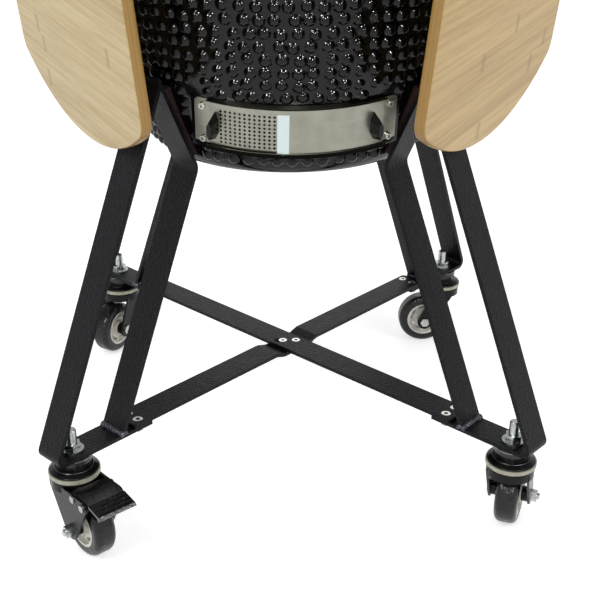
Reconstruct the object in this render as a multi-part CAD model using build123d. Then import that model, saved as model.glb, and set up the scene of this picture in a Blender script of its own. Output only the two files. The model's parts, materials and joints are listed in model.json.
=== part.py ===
from build123d import *
import os
from math import atan2, cos, degrees, radians, sin, sqrt, tan

# Kamado grill in a wheeled cart. Millimetres, floor at Z = 0, front towards -Y, bowl axis on Z.

# Cart, of flat bar
bar_width = 38.0
bar_thickness = 5.0
bar_corner = 5.0
stem_spacing = 520.0
leg_turn = 45.0
foot_top = 128.0
foot_inset = 105.7
foot_overhang = 35.3
leg_bend = 8.0
cradle_inset = 61.7
cradle_knee_radius = 173.4
cradle_bend_rise = 302.0
cradle_bend = 16.0
cradle_lean = 25.0
cradle_length = 124.0
pad_width = 32.0
pad_length = 92.0
pad_start = 14.0
brace_lap = 28.0
brace_screw_inset = 13.0
brace_screw_pitch = 19.0
middle_screw_pitch = 24.0
joggle_start = 40.0
joggle_end = 24.0
joggle_bend = 8.0
half_bar_gap = 1.0

# Fasteners of the cart
screw_diameter = 6.0
screw_head_diameter = 12.0
screw_head_height = 3.0
screw_nut_width = 10.0
screw_nut_height = 5.0
stem_diameter = 12.0
stem_rise = 28.0
stem_nut_width = 18.0
stem_nut_height = 10.0
stem_flange_diameter = 27.0
stem_flange_height = 2.5

# Casters
wheel_diameter = 80.0
tyre_width = 28.0
tyre_shoulder = 8.0
rim_diameter = 54.0
rim_width = 27.0
rim_wall = 3.5
web_width = 16.0
hub_diameter = 24.0
rim_slots = 5
rim_slot_radius = 19.5
rim_slot_sweep = 42.0
rim_slot_height = 4.5
trail = 26.0
fork_gap = 46.0
fork_plate = 3.0
fork_diameter = 58.0
fork_top = 98.0
fork_roof = 3.0
crown_height = 13.0
crown_pocket = 42.0
cheek_width = 30.0
fork_eye = 12.0
axle_diameter = 8.0
axle_head_width = 13.0
axle_head_height = 2.5
axle_nut_height = 7.0
axle_end = 3.0
bush_diameter = 19.0
hub_step = 1.0
king_pin_diameter = 10.0
king_head_diameter = 17.0
king_head_height = 4.0
ring_diameter = 61.0
ring_bore = 36.0
ring_height = 5.0
head_diameter = 52.0
head_neck_diameter = 34.0
head_flange_diameter = 44.0
head_flange_height = 6.0
head_race_height = 6.0

# Brake pedal of the front left caster
pedal_pivot_x = 58.0
pedal_pivot_z = 88.0
brake_pin_x = 38.0
brake_pin_z = 90.0
brake_pin_diameter = 5.0
brake_pin_head = 9.0
brake_pin_head_height = 1.6
brake_ear = 8.0
pedal_tube = 10.0
pedal_boss = 13.0
pedal_sheet = 3.0
pedal_top = 97.0
pedal_heel = 33.0
pedal_web = 45.0
pedal_step = 70.0
pedal_reach = 92.0
pedal_width = 48.0
pedal_drop = 4.0
pedal_lip = 5.0
pedal_press = 9.0
pedal_ribs = 3
pedal_rib_pitch = 6.0
pedal_rib_width = 2.6
pedal_rib_height = 1.2
shoe_width = 24.0
shoe_drop = 22.0
shoe_depth = 9.0
tyre_clearance = 1.0

# Bowl, lid and what is inside
bowl_base = 428.5
bowl_base_radius = 150.0
bowl_foot_radius = 167.0
bowl_foot_rise = 11.0
bowl_rim_radius = 249.0
bowl_rim = 768.0
bowl_wall = 26.0
bowl_floor = 28.0
lid_gap = 4.0
lid_rise = 216.0
lid_wall = 24.0
lid_hole_radius = 46.0
firebox_wall = 16.0
firebox_height = 149.5
firebox_base_radius = 120.0
firebox_top_radius = 184.0
firebox_hole_radius = 60.0
firebox_port_width = 120.0
firebox_port_height = 38.0
fire_ring_height = 132.0
fire_ring_top_radius = 206.0
fire_grate_radius = 100.0
fire_grate_thickness = 8.0
fire_grate_slots = 6
fire_grate_slot_pitch = 24.0
fire_grate_slot_width = 11.0
fire_grate_rim = 12.0
grate_ring_radius = 198.0
grate_ring_wire = 6.0
grate_rods = 17
grate_rod_pitch = 22.0
grate_rod_diameter = 5.0
grate_rod_overhang = 5.0
grate_cross_spread = 180.0

# Draft door, on a seat rolled about an axis that leans forward
door_front = 199.0
door_height = 490.0
door_tilt = 12.0
door_turn = 1.2
door_leg_gap = 10.2
seat_radius = 195.0
seat_margin = 1.5
seat_half_height = 32.0
frame_half_height = 29.0
frame_sheet = 1.2
frame_corner = 7.0
window_margin = 6.5
window_half_height = 22.0
rail_setback = 5.0
rail_depth = 6.6
rail_lip = 5.0
slide_sheet = 1.0
slide_play = 0.4
screen_layer = 1.6
door_layer = 3.6
slide_setback = 1.0
screen_to = 3.0
door_from = -6.5
door_hem = 4.2
hem_thickness = 0.6
hole_columns = 13
hole_rows = 9
hole_pitch_angle = 1.6
hole_pitch = 4.7
hole_radius = 1.55
hole_margin = 3.8
knob_width = 9.0
knob_height = 34.0
knob_reach = 17.0
knob_tip = 0.62
door_knob_setback = 3.7
screen_knob_setback = 1.8
draft_port_half_width = 82.0
draft_screw_setback = 3.2
draft_screw_rise = 20.0
draft_screw_diameter = 4.0
draft_screw_length = 12.0
draft_head_diameter = 8.0
draft_head_height = 2.4

# Bands, shelves and lid fittings
band_height = 30.0
band_sheet = 1.6
band_play = 0.3
lower_band_drop = 6.0
upper_band_rise = 10.0
band_turn = -3.0
shelf_turn = 33.8
shelf_hinge_reach = 272.5
shelf_hinge_height = 747.4
shelf_tilt = 6.0
shelf_top_gap = 14.0
shelf_width = 261.5
shelf_length = 313.0
shelf_thickness = 13.0
shelf_corner = 113.0
shelf_round = 3.0
shelf_inner_corner = 14.0
shelf_lug_spread = 220.0
lug_thickness = 5.0
lug_height = 26.0
lug_nose = 10.0
shelf_pin_diameter = 8.0
shelf_pin_length = 14.0
arm_width = 26.0
arm_thickness = 4.0
arm_length = 190.0
arm_eye = 10.0
hinge_reach = 290.0
hinge_height = 778.0
hinge_pin_diameter = 10.0
hinge_pin_length = 132.0
hinge_plate = 6.0
hinge_base_spread = 88.0
hinge_arm_spread = 62.0
hinge_plate_width = 46.0
hinge_eye = 12.0
handle_reach = 296.0
handle_rise = 26.0
handle_diameter = 28.0
handle_length = 250.0
handle_spread = 170.0
handle_bow = 6.0
post_diameter = 12.0
vent_neck_radius = 62.0
vent_neck_height = 20.0
vent_skirt = 12.0
vent_sheet = 5.0
vent_hole_radius = 11.0
vent_holes = 5
vent_hole_circle = 36.0
vent_cap_radius = 66.0
vent_cap_height = 10.0
vent_tab_length = 26.0
vent_pin_diameter = 8.0
dial_diameter = 62.0
dial_depth = 14.0
dial_height = 868.0
dial_stem_diameter = 10.0

# Clearances
running_fit = 0.05
face_gap = 0.3
hole_play = 0.2

# Derived sizes
stem_radius = stem_spacing / sqrt(2)
leg_reach = stem_radius + foot_overhang
foot_inner_radius = stem_radius - foot_inset
brace_end_radius = foot_inner_radius + brace_lap
brace_screw_radius = brace_end_radius - brace_screw_inset
cradle_reach = stem_radius - cradle_inset
leg_lean = degrees(atan2(cradle_reach - cradle_knee_radius, cradle_bend_rise))
frame_half_angle = leg_turn - door_leg_gap
seat_half_angle = frame_half_angle + seat_margin
window_half_angle = frame_half_angle - window_margin
rail_half_angle = frame_half_angle - rail_setback
draft_screw_angle = frame_half_angle - draft_screw_setback
slide_end = rail_half_angle - slide_setback
foot_middle = foot_top - bar_thickness / 2
foot_bottom = foot_top - bar_thickness
wheel_radius = wheel_diameter / 2
lid_base = bowl_rim + lid_gap
lid_top = lid_base + lid_rise + vent_neck_height
ring_base = fork_top + face_gap
ring_top = ring_base + ring_height
fork_outer = fork_gap / 2 + fork_plate
half_hub = rim_width / 2 + hub_step
bowl_floor_top = bowl_base + bowl_floor
firebox_top = bowl_floor_top + firebox_height
fire_ring_top = firebox_top + fire_ring_height

# Directions of the legs and of the trailing casters, in degrees about Z
corners = {
    "front_left": 270 - leg_turn,
    "front_right": 270 + leg_turn,
    "back_left": 90 + leg_turn,
    "back_right": 90 - leg_turn,
}
trailing = {"front_left": -51.6, "front_right": 66.8, "back_left": 240.0, "back_right": 180.0}
nodes = {}


def revolved(points):
    return revolve(Plane.XZ * make_face(Polyline(*points, close=True)), Axis.Z)


def upright_rod(diameter, low, high):
    return Pos(0, 0, low) * Cylinder(diameter / 2, high - low, align=(Align.CENTER, Align.CENTER, Align.MIN))


def hexagon(width, low, high):
    return extrude(Pos(0, 0, low) * RegularPolygon(width / sqrt(3), 6), amount=high - low)


def block(x0, x1, y0, y1, z0, z1):
    return Pos(x0, y0, z0) * Box(x1 - x0, y1 - y0, z1 - z0, align=(Align.MIN, Align.MIN, Align.MIN))


def bent_bar(points, bend):
    # Flat bar bent in the upright plane through its corner, X pointing away from the bowl axis.
    path = FilletPolyline(*[(x, 0, z) for x, z in points], radius=bend)
    section = Plane(path @ 0, x_dir=(0, 1, 0), z_dir=path % 0) * Rectangle(bar_width, bar_thickness)
    return sweep(section, path=path)


def group(parts):
    return Compound(children=list(parts))


# Legs, cradles and pads
cradle_foot = (cradle_reach, foot_top)
cradle_knee = (cradle_knee_radius, foot_top + cradle_bend_rise)
cradle_end = (
    cradle_knee[0] + cradle_length * sin(radians(cradle_lean)),
    cradle_knee[1] + cradle_length * cos(radians(cradle_lean)),
)
cradle_plane = Plane(
    (cradle_knee[0], 0, cradle_knee[1]),
    x_dir=(0, 1, 0),
    z_dir=(cos(radians(cradle_lean)), 0, -sin(radians(cradle_lean))),
)


def leg_bar():
    # The outer leg ends against the outer face of the cradle.
    rise = cradle_end[1] - foot_middle
    top = (leg_reach - rise * tan(radians(leg_lean)), cradle_end[1])
    bar = bent_bar([(foot_inner_radius, foot_middle), (leg_reach, foot_middle), top], leg_bend)
    cradle_side = cradle_plane * Pos(0, 0, bar_thickness / 2) * Box(
        4 * bar_width, 4 * cradle_length, 2 * cradle_length, align=(Align.CENTER, Align.CENTER, Align.MAX)
    )
    stem_hole = Pos(stem_radius, 0, 0) * upright_rod(stem_diameter + hole_play, foot_bottom - 1, foot_top + 1)
    return bar - cradle_side - stem_hole


def cradle_bar():
    # The inner leg is cut level where it is welded on the foot bar.
    run = 2 * bar_thickness
    start = (cradle_foot[0] + run * tan(radians(leg_lean)), cradle_foot[1] - run)
    bar = bent_bar([start, cradle_knee, cradle_end], cradle_bend)
    return bar - block(0, 2 * cradle_reach, -bar_width, bar_width, foot_top - 4 * run, foot_top)


def bowl_outline(foot_radius, foot_height, base_radius, base_height, rim_radius, rim_height):
    # Wall arc that stands upright at the rim, with a rounded turn into the base.
    wall = TangentArc((rim_radius, rim_height), (foot_radius, foot_height), tangent=(0, -1))
    turn = TangentArc((foot_radius, foot_height), (base_radius, base_height), tangent=wall % 1)
    rest = Polyline((base_radius, base_height), (0, base_height), (0, rim_height), (rim_radius, rim_height))
    return revolve(Plane.XZ * make_face([wall, turn, rest]), Axis.Z)


def bowl_body(grow):
    return bowl_outline(
        bowl_foot_radius + grow, bowl_base + bowl_foot_rise, bowl_base_radius + grow, bowl_base - grow,
        bowl_rim_radius + grow, bowl_rim,
    )


leg = leg_bar()
cradle = cradle_bar()
pad_block = cradle_plane * Pos(0, 0, -bar_thickness / 2) * Box(
    pad_width, pad_length, bar_width, align=(Align.CENTER, Align.CENTER, Align.MAX)
)
pad_shift = pad_start + pad_length / 2
pad = Pos(pad_shift * sin(radians(cradle_lean)), 0, pad_shift * cos(radians(cradle_lean))) * pad_block
pad = pad - bowl_body(face_gap)

# Cross bars, with a joggle that takes the half bars under the long one
brace_top = foot_top + bar_thickness
brace_middle = foot_top + bar_thickness / 2


def square_screw(top, grip):
    # Countersunk screw, head flush with the given height.
    return revolved([
        (0, top), (screw_head_diameter / 2, top), (screw_diameter / 2, top - screw_head_height),
        (screw_diameter / 2, top - grip), (0, top - grip),
    ])


def screw_room(top, grip):
    return revolved([
        (0, top + 1), (screw_head_diameter / 2 + hole_play, top + 1), (screw_head_diameter / 2 + hole_play, top),
        (screw_diameter / 2 + hole_play, top - screw_head_height), (screw_diameter / 2 + hole_play, top - grip),
        (0, top - grip),
    ])


screw_grip = 2 * bar_thickness + screw_nut_height + 2
corner_places = [
    Rot(0, 0, turn) * Pos(brace_screw_radius, side * brace_screw_pitch / 2, 0)
    for turn in corners.values() for side in (-1, 1)
]
middle_places = [Pos(side * middle_screw_pitch / 2, 0, 0) for side in (-1, 1)]
screw_places = corner_places + middle_places
screw_rooms = [place * screw_room(brace_top, 2 * screw_grip) for place in screw_places]

for name, turn in corners.items():
    nodes["leg_" + name] = Rot(0, 0, turn) * leg - screw_rooms
    nodes["cradle_" + name] = Rot(0, 0, turn) * cradle
nodes["cradle_pads"] = group(Rot(0, 0, turn) * pad for turn in corners.values())

long_face = RectangleRounded(2 * brace_end_radius, bar_width, bar_corner)
long_bar = extrude(Pos(0, 0, foot_top) * long_face, amount=bar_thickness)
nodes["cross_bar_long"] = Rot(0, 0, corners["front_right"]) * long_bar - screw_rooms
half_bar = bent_bar([
    (brace_end_radius, brace_middle), (joggle_start, brace_middle), (joggle_end, foot_middle),
    (half_bar_gap, foot_middle),
], joggle_bend)
outline = extrude(Pos(0, 0, foot_bottom - 1) * long_face, amount=2 * bar_thickness + 2)
half_bar = half_bar & outline
nodes["cross_bar_front"] = Rot(0, 0, corners["front_left"]) * half_bar - screw_rooms
nodes["cross_bar_back"] = Rot(0, 0, corners["back_right"]) * half_bar - screw_rooms

nodes["brace_screws"] = group(place * square_screw(brace_top, screw_grip) for place in screw_places)
brace_nut = hexagon(screw_nut_width, foot_bottom - screw_nut_height, foot_bottom)
brace_nut -= upright_rod(screw_diameter + 2 * running_fit, foot_bottom - 2 * screw_nut_height, foot_top)
nodes["brace_nuts"] = group(place * brace_nut for place in screw_places)

# Caster stems, nuts and swivel rings, fixed to the foot bars
stem_profile = [
    (0, foot_top + stem_rise), (stem_diameter / 2 - 1, foot_top + stem_rise),
    (stem_diameter / 2, foot_top + stem_rise - 1), (stem_diameter / 2, foot_bottom),
    (head_flange_diameter / 2, foot_bottom), (head_flange_diameter / 2, foot_bottom - head_flange_height),
    (head_neck_diameter / 2, foot_bottom - head_flange_height),
    (head_neck_diameter / 2, ring_top + head_race_height), (head_diameter / 2 - 3, ring_top + head_race_height),
    (head_diameter / 2, ring_top + head_race_height - 3), (head_diameter / 2, ring_top),
    (king_pin_diameter / 2, ring_top), (king_pin_diameter / 2, fork_top - fork_roof - face_gap),
    (king_head_diameter / 2, fork_top - fork_roof - face_gap),
    (king_head_diameter / 2 - 1.5, fork_top - fork_roof - king_head_height),
    (0, fork_top - fork_roof - king_head_height),
]
stem = revolved(stem_profile)
stem_nut = upright_rod(stem_flange_diameter, foot_top, foot_top + stem_flange_height)
stem_nut += hexagon(stem_nut_width, foot_top, foot_top + stem_nut_height)
stem_nut -= upright_rod(stem_diameter + 2 * running_fit, foot_top - 1, foot_top + 2 * stem_nut_height)
ring = upright_rod(ring_diameter, ring_base, ring_top) - upright_rod(ring_bore, ring_base - 1, ring_top + 1)
stem_places = [Rot(0, 0, turn) * Pos(stem_radius, 0, 0) for turn in corners.values()]
nodes["caster_stems"] = group(place * stem for place in stem_places)
nodes["stem_nuts"] = group(place * stem_nut for place in stem_places)
nodes["swivel_rings"] = group(place * ring for place in stem_places)

# Swivelling forks with axle, rim and tyre, trailing along +X from the stem axis
across = Pos(trail, 0, wheel_radius) * Rot(90, 0, 0)
pivot = Pos(pedal_pivot_x, 0, pedal_pivot_z) * Rot(90, 0, 0)
spring_place = Pos(brake_pin_x, 0, brake_pin_z) * Rot(90, 0, 0)


def through(place, diameter, length):
    return place * Cylinder(diameter / 2, length)


def fork_body(braked):
    crown = upright_rod(fork_diameter, fork_top - crown_height, fork_top)
    crown = fillet(crown.edges().group_by(Axis.Z)[-1], fork_roof)
    crown -= upright_rod(crown_pocket, fork_top - 2 * crown_height, fork_top - fork_roof)
    top_bar = Pos(0, fork_top - crown_height / 2 - fork_roof) * Rectangle(cheek_width, crown_height - 2 * fork_roof)
    eye = Pos(trail, wheel_radius) * Circle(fork_eye)
    outline = top_bar.edges() + eye.edges()
    if braked:
        outline += (Pos(pedal_pivot_x, pedal_pivot_z) * Circle(brake_ear)).edges()
    plate = extrude(Plane.XZ * make_hull(outline), amount=fork_plate)
    bush = upright_rod(bush_diameter, half_hub + face_gap, fork_outer - fork_plate / 2)
    fork = crown + Pos(0, fork_outer, 0) * plate + Pos(0, -fork_gap / 2, 0) * plate
    fork += across * bush
    fork += across * Rot(180, 0, 0) * bush
    fork -= upright_rod(king_pin_diameter + 2 * running_fit, fork_top - 2 * fork_roof, fork_top + 1)
    fork -= through(across, axle_diameter, 3 * fork_gap)
    if braked:
        fork -= through(pivot, brake_pin_diameter, 3 * fork_gap)
        fork -= through(spring_place, brake_pin_diameter, 3 * fork_gap)
    return fork


def axle_bolt():
    shank_end = fork_outer + axle_nut_height + axle_end
    shank = upright_rod(axle_diameter, -fork_outer, shank_end)
    bolt = shank + hexagon(axle_head_width, -fork_outer - axle_head_height, -fork_outer)
    nut = hexagon(axle_head_width, fork_outer, fork_outer + axle_nut_height)
    nut -= upright_rod(axle_diameter + 2 * running_fit, 0, 2 * shank_end)
    return [bolt, nut]


def brake_pin(place):
    head = brake_pin_head_height
    pin = through(place, brake_pin_diameter, 2 * fork_outer)
    for side in (-1, 1):
        pin += place * Pos(0, 0, side * (fork_outer + head / 2)) * Cylinder(brake_pin_head / 2, head)
    return pin


def wheel_rim():
    inner = rim_diameter / 2 - rim_wall
    rim = revolved([
        (axle_diameter / 2 + running_fit, -half_hub), (hub_diameter / 2, -half_hub),
        (hub_diameter / 2, -web_width / 2), (inner, -web_width / 2), (inner, -rim_width / 2),
        (rim_diameter / 2, -rim_width / 2), (rim_diameter / 2, rim_width / 2), (inner, rim_width / 2),
        (inner, web_width / 2), (hub_diameter / 2, web_width / 2), (hub_diameter / 2, half_hub),
        (axle_diameter / 2 + running_fit, half_hub),
    ])
    slot = SlotArc(CenterArc((0, 0), rim_slot_radius, 0, rim_slot_sweep), rim_slot_height)
    cut = extrude(Pos(0, 0, -web_width) * slot, amount=2 * web_width)
    return rim - [Rot(0, 0, 360 / rim_slots * k) * cut for k in range(rim_slots)]


def wheel_tyre():
    section = Pos((rim_diameter + wheel_diameter) / 4, 0) * Rectangle((wheel_diameter - rim_diameter) / 2, tyre_width)
    section = fillet(section.vertices().group_by(Axis.X)[-1], tyre_shoulder)
    return revolve(Plane.XZ * section, Axis.Z)


def pedal():
    # Pressed channel on a cross tube, with a tread at its end and a shoe that hangs beside the tyre.
    inner_half = fork_gap / 2 - face_gap
    tread_top = pedal_top - pedal_drop
    sheet = make_face(Polyline(
        (pedal_heel, pedal_top), (pedal_step, pedal_top), (pedal_reach, tread_top),
        (pedal_reach + pedal_sheet, tread_top - pedal_sheet), (pedal_reach, tread_top - pedal_lip),
        (pedal_reach - pedal_sheet, tread_top - pedal_lip), (pedal_reach - pedal_sheet, tread_top - pedal_sheet),
        (pedal_step, pedal_top - pedal_sheet), (pedal_heel, pedal_top - pedal_sheet), close=True,
    ))
    lever = extrude(Plane.XZ * sheet, amount=inner_half, both=True)
    tread = extrude(Plane.XZ * sheet, amount=pedal_width / 2, both=True)
    lever += tread & block(pedal_step, 2 * pedal_reach, -pedal_width, pedal_width, 0, 2 * pedal_top)
    under = Pos((pedal_web + pedal_step) / 2, pedal_top - pedal_sheet / 2) * Rectangle(
        pedal_step - pedal_web, pedal_sheet
    )
    boss = Pos(pedal_pivot_x, pedal_pivot_z) * Circle(pedal_boss / 2)
    wall = extrude(Plane.XZ * make_hull(under.edges() + boss.edges()), amount=pedal_sheet)
    lever += Pos(0, inner_half, 0) * wall
    lever += Pos(0, pedal_sheet - inner_half, 0) * wall
    lever += through(pivot, pedal_tube, 2 * inner_half)
    lever += block(
        pedal_pivot_x - pedal_sheet, pedal_pivot_x + shoe_depth, -shoe_width / 2, shoe_width / 2,
        pedal_pivot_z - shoe_drop, pedal_pivot_z + pedal_sheet,
    )
    tread_slope = degrees(atan2(pedal_drop, pedal_reach - pedal_step))
    slope = Pos(pedal_step, 0, pedal_top) * Rot(0, tread_slope, 0)
    for k in range(pedal_ribs):
        rib = Box(pedal_rib_width, 2 * inner_half, 2 * pedal_rib_height)
        lever += slope * Pos((k + 0.5) * pedal_rib_pitch, 0, 0) * rib
    wheel = through(across, wheel_diameter + 2 * tyre_clearance, 2 * pedal_width)
    turn = Pos(pedal_pivot_x, 0, pedal_pivot_z) * Rot(0, -pedal_press, 0) * Pos(-pedal_pivot_x, 0, -pedal_pivot_z)
    lever = lever - wheel - turn * wheel
    return lever - through(pivot, brake_pin_diameter + 2 * running_fit, 4 * fork_gap)


for name, turn in corners.items():
    stem_spot = Pos(stem_radius * cos(radians(turn)), stem_radius * sin(radians(turn)), 0)
    place = stem_spot * Rot(0, 0, trailing[name])
    nodes["fork_" + name] = place * fork_body(name == "front_left")
    pins = [across * piece for piece in axle_bolt()]
    if name == "front_left":
        pins += [brake_pin(pivot), brake_pin(spring_place)]
        nodes["brake_pedal"] = place * pedal()
    nodes["axle_" + name] = group(place * piece for piece in pins)
    nodes["rim_" + name] = place * across * wheel_rim()
    nodes["tyre_" + name] = place * across * wheel_tyre()

# Draft door. Angles are measured about the leaning axis of the seat, to the right of the front.
lean = radians(door_tilt)
facing = radians(door_turn)
seat_ahead = door_front - seat_radius * cos(lean)
seat_plane = Plane(
    (seat_ahead * sin(facing), -seat_ahead * cos(facing), door_height + seat_radius * sin(lean)),
    x_dir=(cos(facing), sin(facing), 0),
    z_dir=(sin(lean) * sin(facing), -sin(lean) * cos(facing), cos(lean)),
)


def curved_plate(radius, thickness, start, stop, low, high):
    outer = CenterArc((0, 0), radius + thickness, start - 90, stop - start)
    inner = CenterArc((0, 0), radius, start - 90, stop - start)
    face = make_face([outer, inner, Line(outer @ 0, inner @ 0), Line(outer @ 1, inner @ 1)])
    return extrude(Pos(0, 0, low) * face, amount=high - low)


def at_angle(angle, radius, rise):
    # Local frame on the seat: its Z axis points straight out of the bowl.
    return Rot(0, 0, angle) * Pos(0, -radius, rise) * Rot(90, 0, 0)


def rounded_to(plate, half_angle, half_height, radius, corner):
    chord = 2 * radius * sin(radians(half_angle))
    face = Plane.XZ * RectangleRounded(chord, 2 * half_height, corner)
    return plate & extrude(face, amount=2 * radius)


screw_spots = [(side * draft_screw_angle, rise) for side in (-1, 1) for rise in (-draft_screw_rise, draft_screw_rise)]
screw_holes = [
    at_angle(angle, seat_radius, rise) * Cylinder(draft_screw_diameter / 2 + running_fit, 2 * draft_screw_length)
    for angle, rise in screw_spots
]

frame = curved_plate(
    seat_radius, frame_sheet, -frame_half_angle, frame_half_angle, -frame_half_height, frame_half_height
)
frame = rounded_to(frame, frame_half_angle, frame_half_height, seat_radius + frame_sheet, frame_corner)
frame -= curved_plate(
    seat_radius - 1, 2 + frame_sheet, -window_half_angle, window_half_angle, -window_half_height, window_half_height
)
rail_ledge = frame_half_height - frame_sheet
for side in (-1, 1):
    low, high = sorted((side * rail_ledge, side * frame_half_height))
    frame += curved_plate(
        seat_radius + frame_sheet / 2, rail_depth - frame_sheet / 2, -rail_half_angle, rail_half_angle, low, high
    )
    low, high = sorted((side * (frame_half_height - rail_lip), side * frame_half_height))
    frame += curved_plate(
        seat_radius + rail_depth - frame_sheet, frame_sheet, -rail_half_angle, rail_half_angle, low, high
    )
frame -= screw_holes
slide_half_height = rail_ledge - slide_play

screen = curved_plate(
    seat_radius + screen_layer, slide_sheet, -slide_end, screen_to, -slide_half_height, slide_half_height
)
hole = extrude(RegularPolygon(hole_radius, 6), amount=4 * slide_sheet, both=True)
screen -= [
    at_angle(hole_margin - slide_end + hole_pitch_angle * column, seat_radius + screen_layer, hole_pitch * row) * hole
    for column in range(hole_columns) for row in range(-(hole_rows // 2), hole_rows // 2 + 1)
]
door = curved_plate(
    seat_radius + door_layer, slide_sheet, door_from, slide_end, -slide_half_height, slide_half_height
)
door += curved_plate(
    seat_radius + door_layer, slide_sheet + hem_thickness, door_from, door_from + door_hem,
    -frame_half_height + rail_lip + slide_play, frame_half_height - rail_lip - slide_play,
)


def diamond(width, height):
    corner = height / 2 - width
    return make_face(Polyline(
        (0, height / 2), (width / 2, corner), (width / 2, -corner), (0, -height / 2), (-width / 2, -corner),
        (-width / 2, corner), close=True,
    ))


def knob(angle, radius):
    # Pointed grip, narrower at its outer end, seated on the curved sheet.
    base = diamond(knob_width, knob_height)
    tip = Pos(0, 0, knob_reach) * diamond(knob_width * knob_tip, knob_height * knob_tip)
    grip = at_angle(angle, radius - 1, 0) * loft([base, tip])
    return grip - Cylinder(radius, 4 * knob_height)


nodes["draft_frame"] = seat_plane * frame
nodes["draft_screen"] = seat_plane * screen
nodes["draft_door"] = seat_plane * door
nodes["screen_knob"] = seat_plane * knob(screen_knob_setback - slide_end, seat_radius + screen_layer + slide_sheet)
nodes["door_knob"] = seat_plane * knob(slide_end - door_knob_setback, seat_radius + door_layer + slide_sheet)
draft_screw = Pos(0, 0, frame_sheet) * Cylinder(
    draft_head_diameter / 2, draft_head_height, align=(Align.CENTER, Align.CENTER, Align.MIN)
)
draft_screw += Pos(0, 0, frame_sheet) * Cylinder(
    draft_screw_diameter / 2, draft_screw_length, align=(Align.CENTER, Align.CENTER, Align.MAX)
)
nodes["draft_screws"] = group(
    seat_plane * at_angle(angle, seat_radius, rise) * draft_screw for angle, rise in screw_spots
)

# Bowl with the door seat, and what stands in it
cavity = bowl_outline(
    bowl_foot_radius - bowl_wall, bowl_base + bowl_foot_rise + bowl_floor, bowl_base_radius - bowl_wall,
    bowl_floor_top, bowl_rim_radius - bowl_wall, bowl_rim,
)
seat_depth = 2 * bowl_wall
seat = curved_plate(
    seat_radius - seat_depth, seat_depth, -seat_half_angle, seat_half_angle, -seat_half_height, seat_half_height
)
port = block(
    -draft_port_half_width, draft_port_half_width, -2 * seat_radius, -seat_radius / 3,
    -window_half_height, window_half_height,
)
recess = curved_plate(
    seat_radius, seat_depth, -seat_half_angle, seat_half_angle, -seat_half_height, seat_half_height
)
bowl = bowl_body(0) + seat_plane * seat - seat_plane * recess
bowl -= cavity
bowl -= seat_plane * port
bowl -= [seat_plane * hole_cut for hole_cut in screw_holes]
nodes["bowl"] = bowl

firebox = revolved([
    (firebox_hole_radius, bowl_floor_top), (firebox_base_radius, bowl_floor_top),
    (firebox_top_radius, firebox_top), (firebox_top_radius - firebox_wall, firebox_top),
    (firebox_base_radius - firebox_wall, bowl_floor_top + firebox_wall),
    (firebox_hole_radius, bowl_floor_top + firebox_wall),
])
port_base = bowl_floor_top + firebox_wall + fire_grate_thickness
nodes["firebox"] = firebox - block(
    -firebox_port_width / 2, firebox_port_width / 2, -firebox_top_radius, 0, port_base,
    port_base + firebox_port_height,
)
nodes["fire_ring"] = revolved([
    (firebox_top_radius - firebox_wall, firebox_top), (firebox_top_radius, firebox_top),
    (fire_ring_top_radius, fire_ring_top), (fire_ring_top_radius - firebox_wall, fire_ring_top),
])


def slotted_plate(radius, thickness, slots, pitch, gap, base):
    plate = Circle(radius)
    for k in range(slots):
        offset = (k - (slots - 1) / 2) * pitch
        length = 2 * sqrt((radius - fire_grate_rim) ** 2 - (abs(offset) + gap / 2) ** 2)
        plate -= Pos(0, offset) * Rectangle(length, gap)
    return extrude(Pos(0, 0, base) * plate, amount=thickness)


nodes["fire_grate"] = slotted_plate(
    fire_grate_radius, fire_grate_thickness, fire_grate_slots, fire_grate_slot_pitch, fire_grate_slot_width,
    bowl_floor_top + firebox_wall,
)


def grate_rod(offset, height, reach, diameter):
    # Rod along X that ends inside a circle of the given radius.
    length = 2 * sqrt(reach ** 2 - (abs(offset) + diameter / 2) ** 2)
    return Pos(0, offset, height) * Rot(0, 90, 0) * Cylinder(diameter / 2, length)


# Cooking grate: a wire ring, two cross wires inside it and rods laid over both
ring_height_mid = fire_ring_top + running_fit + grate_ring_wire / 2
rod_height = ring_height_mid + grate_ring_wire / 2 + running_fit + grate_rod_diameter / 2
grate = [Pos(0, 0, ring_height_mid) * Torus(grate_ring_radius, grate_ring_wire / 2)]
cross_reach = grate_ring_radius - grate_ring_wire / 2 - face_gap
grate += [
    Rot(0, 0, 90) * grate_rod(end * grate_cross_spread / 2, ring_height_mid, cross_reach, grate_ring_wire)
    for end in (-1, 1)
]
grate += [
    grate_rod((k - (grate_rods - 1) / 2) * grate_rod_pitch, rod_height, grate_ring_radius + grate_rod_overhang,
              grate_rod_diameter)
    for k in range(grate_rods)
]
nodes["cooking_grate"] = group(grate)

# Lower band with shelf brackets and the fixed half of the lid hinge
band_low = bowl_rim - lower_band_drop - band_height
band_high = bowl_rim - lower_band_drop
band_inner = bowl_rim_radius + band_play
band_outer = band_inner + band_sheet
lower_band = upright_rod(2 * band_outer, band_low, band_high)
lower_band -= upright_rod(2 * band_inner, band_low - 1, band_high + 1)
nodes["lower_band"] = lower_band


def shelf_frame(side):
    # Frame on a shelf hinge: X out of the grill, Y along the hinge, Z up.
    turn = -shelf_turn if side > 0 else 180 + shelf_turn
    return Rot(0, 0, band_turn + turn) * Pos(shelf_hinge_reach, 0, shelf_hinge_height)


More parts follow.
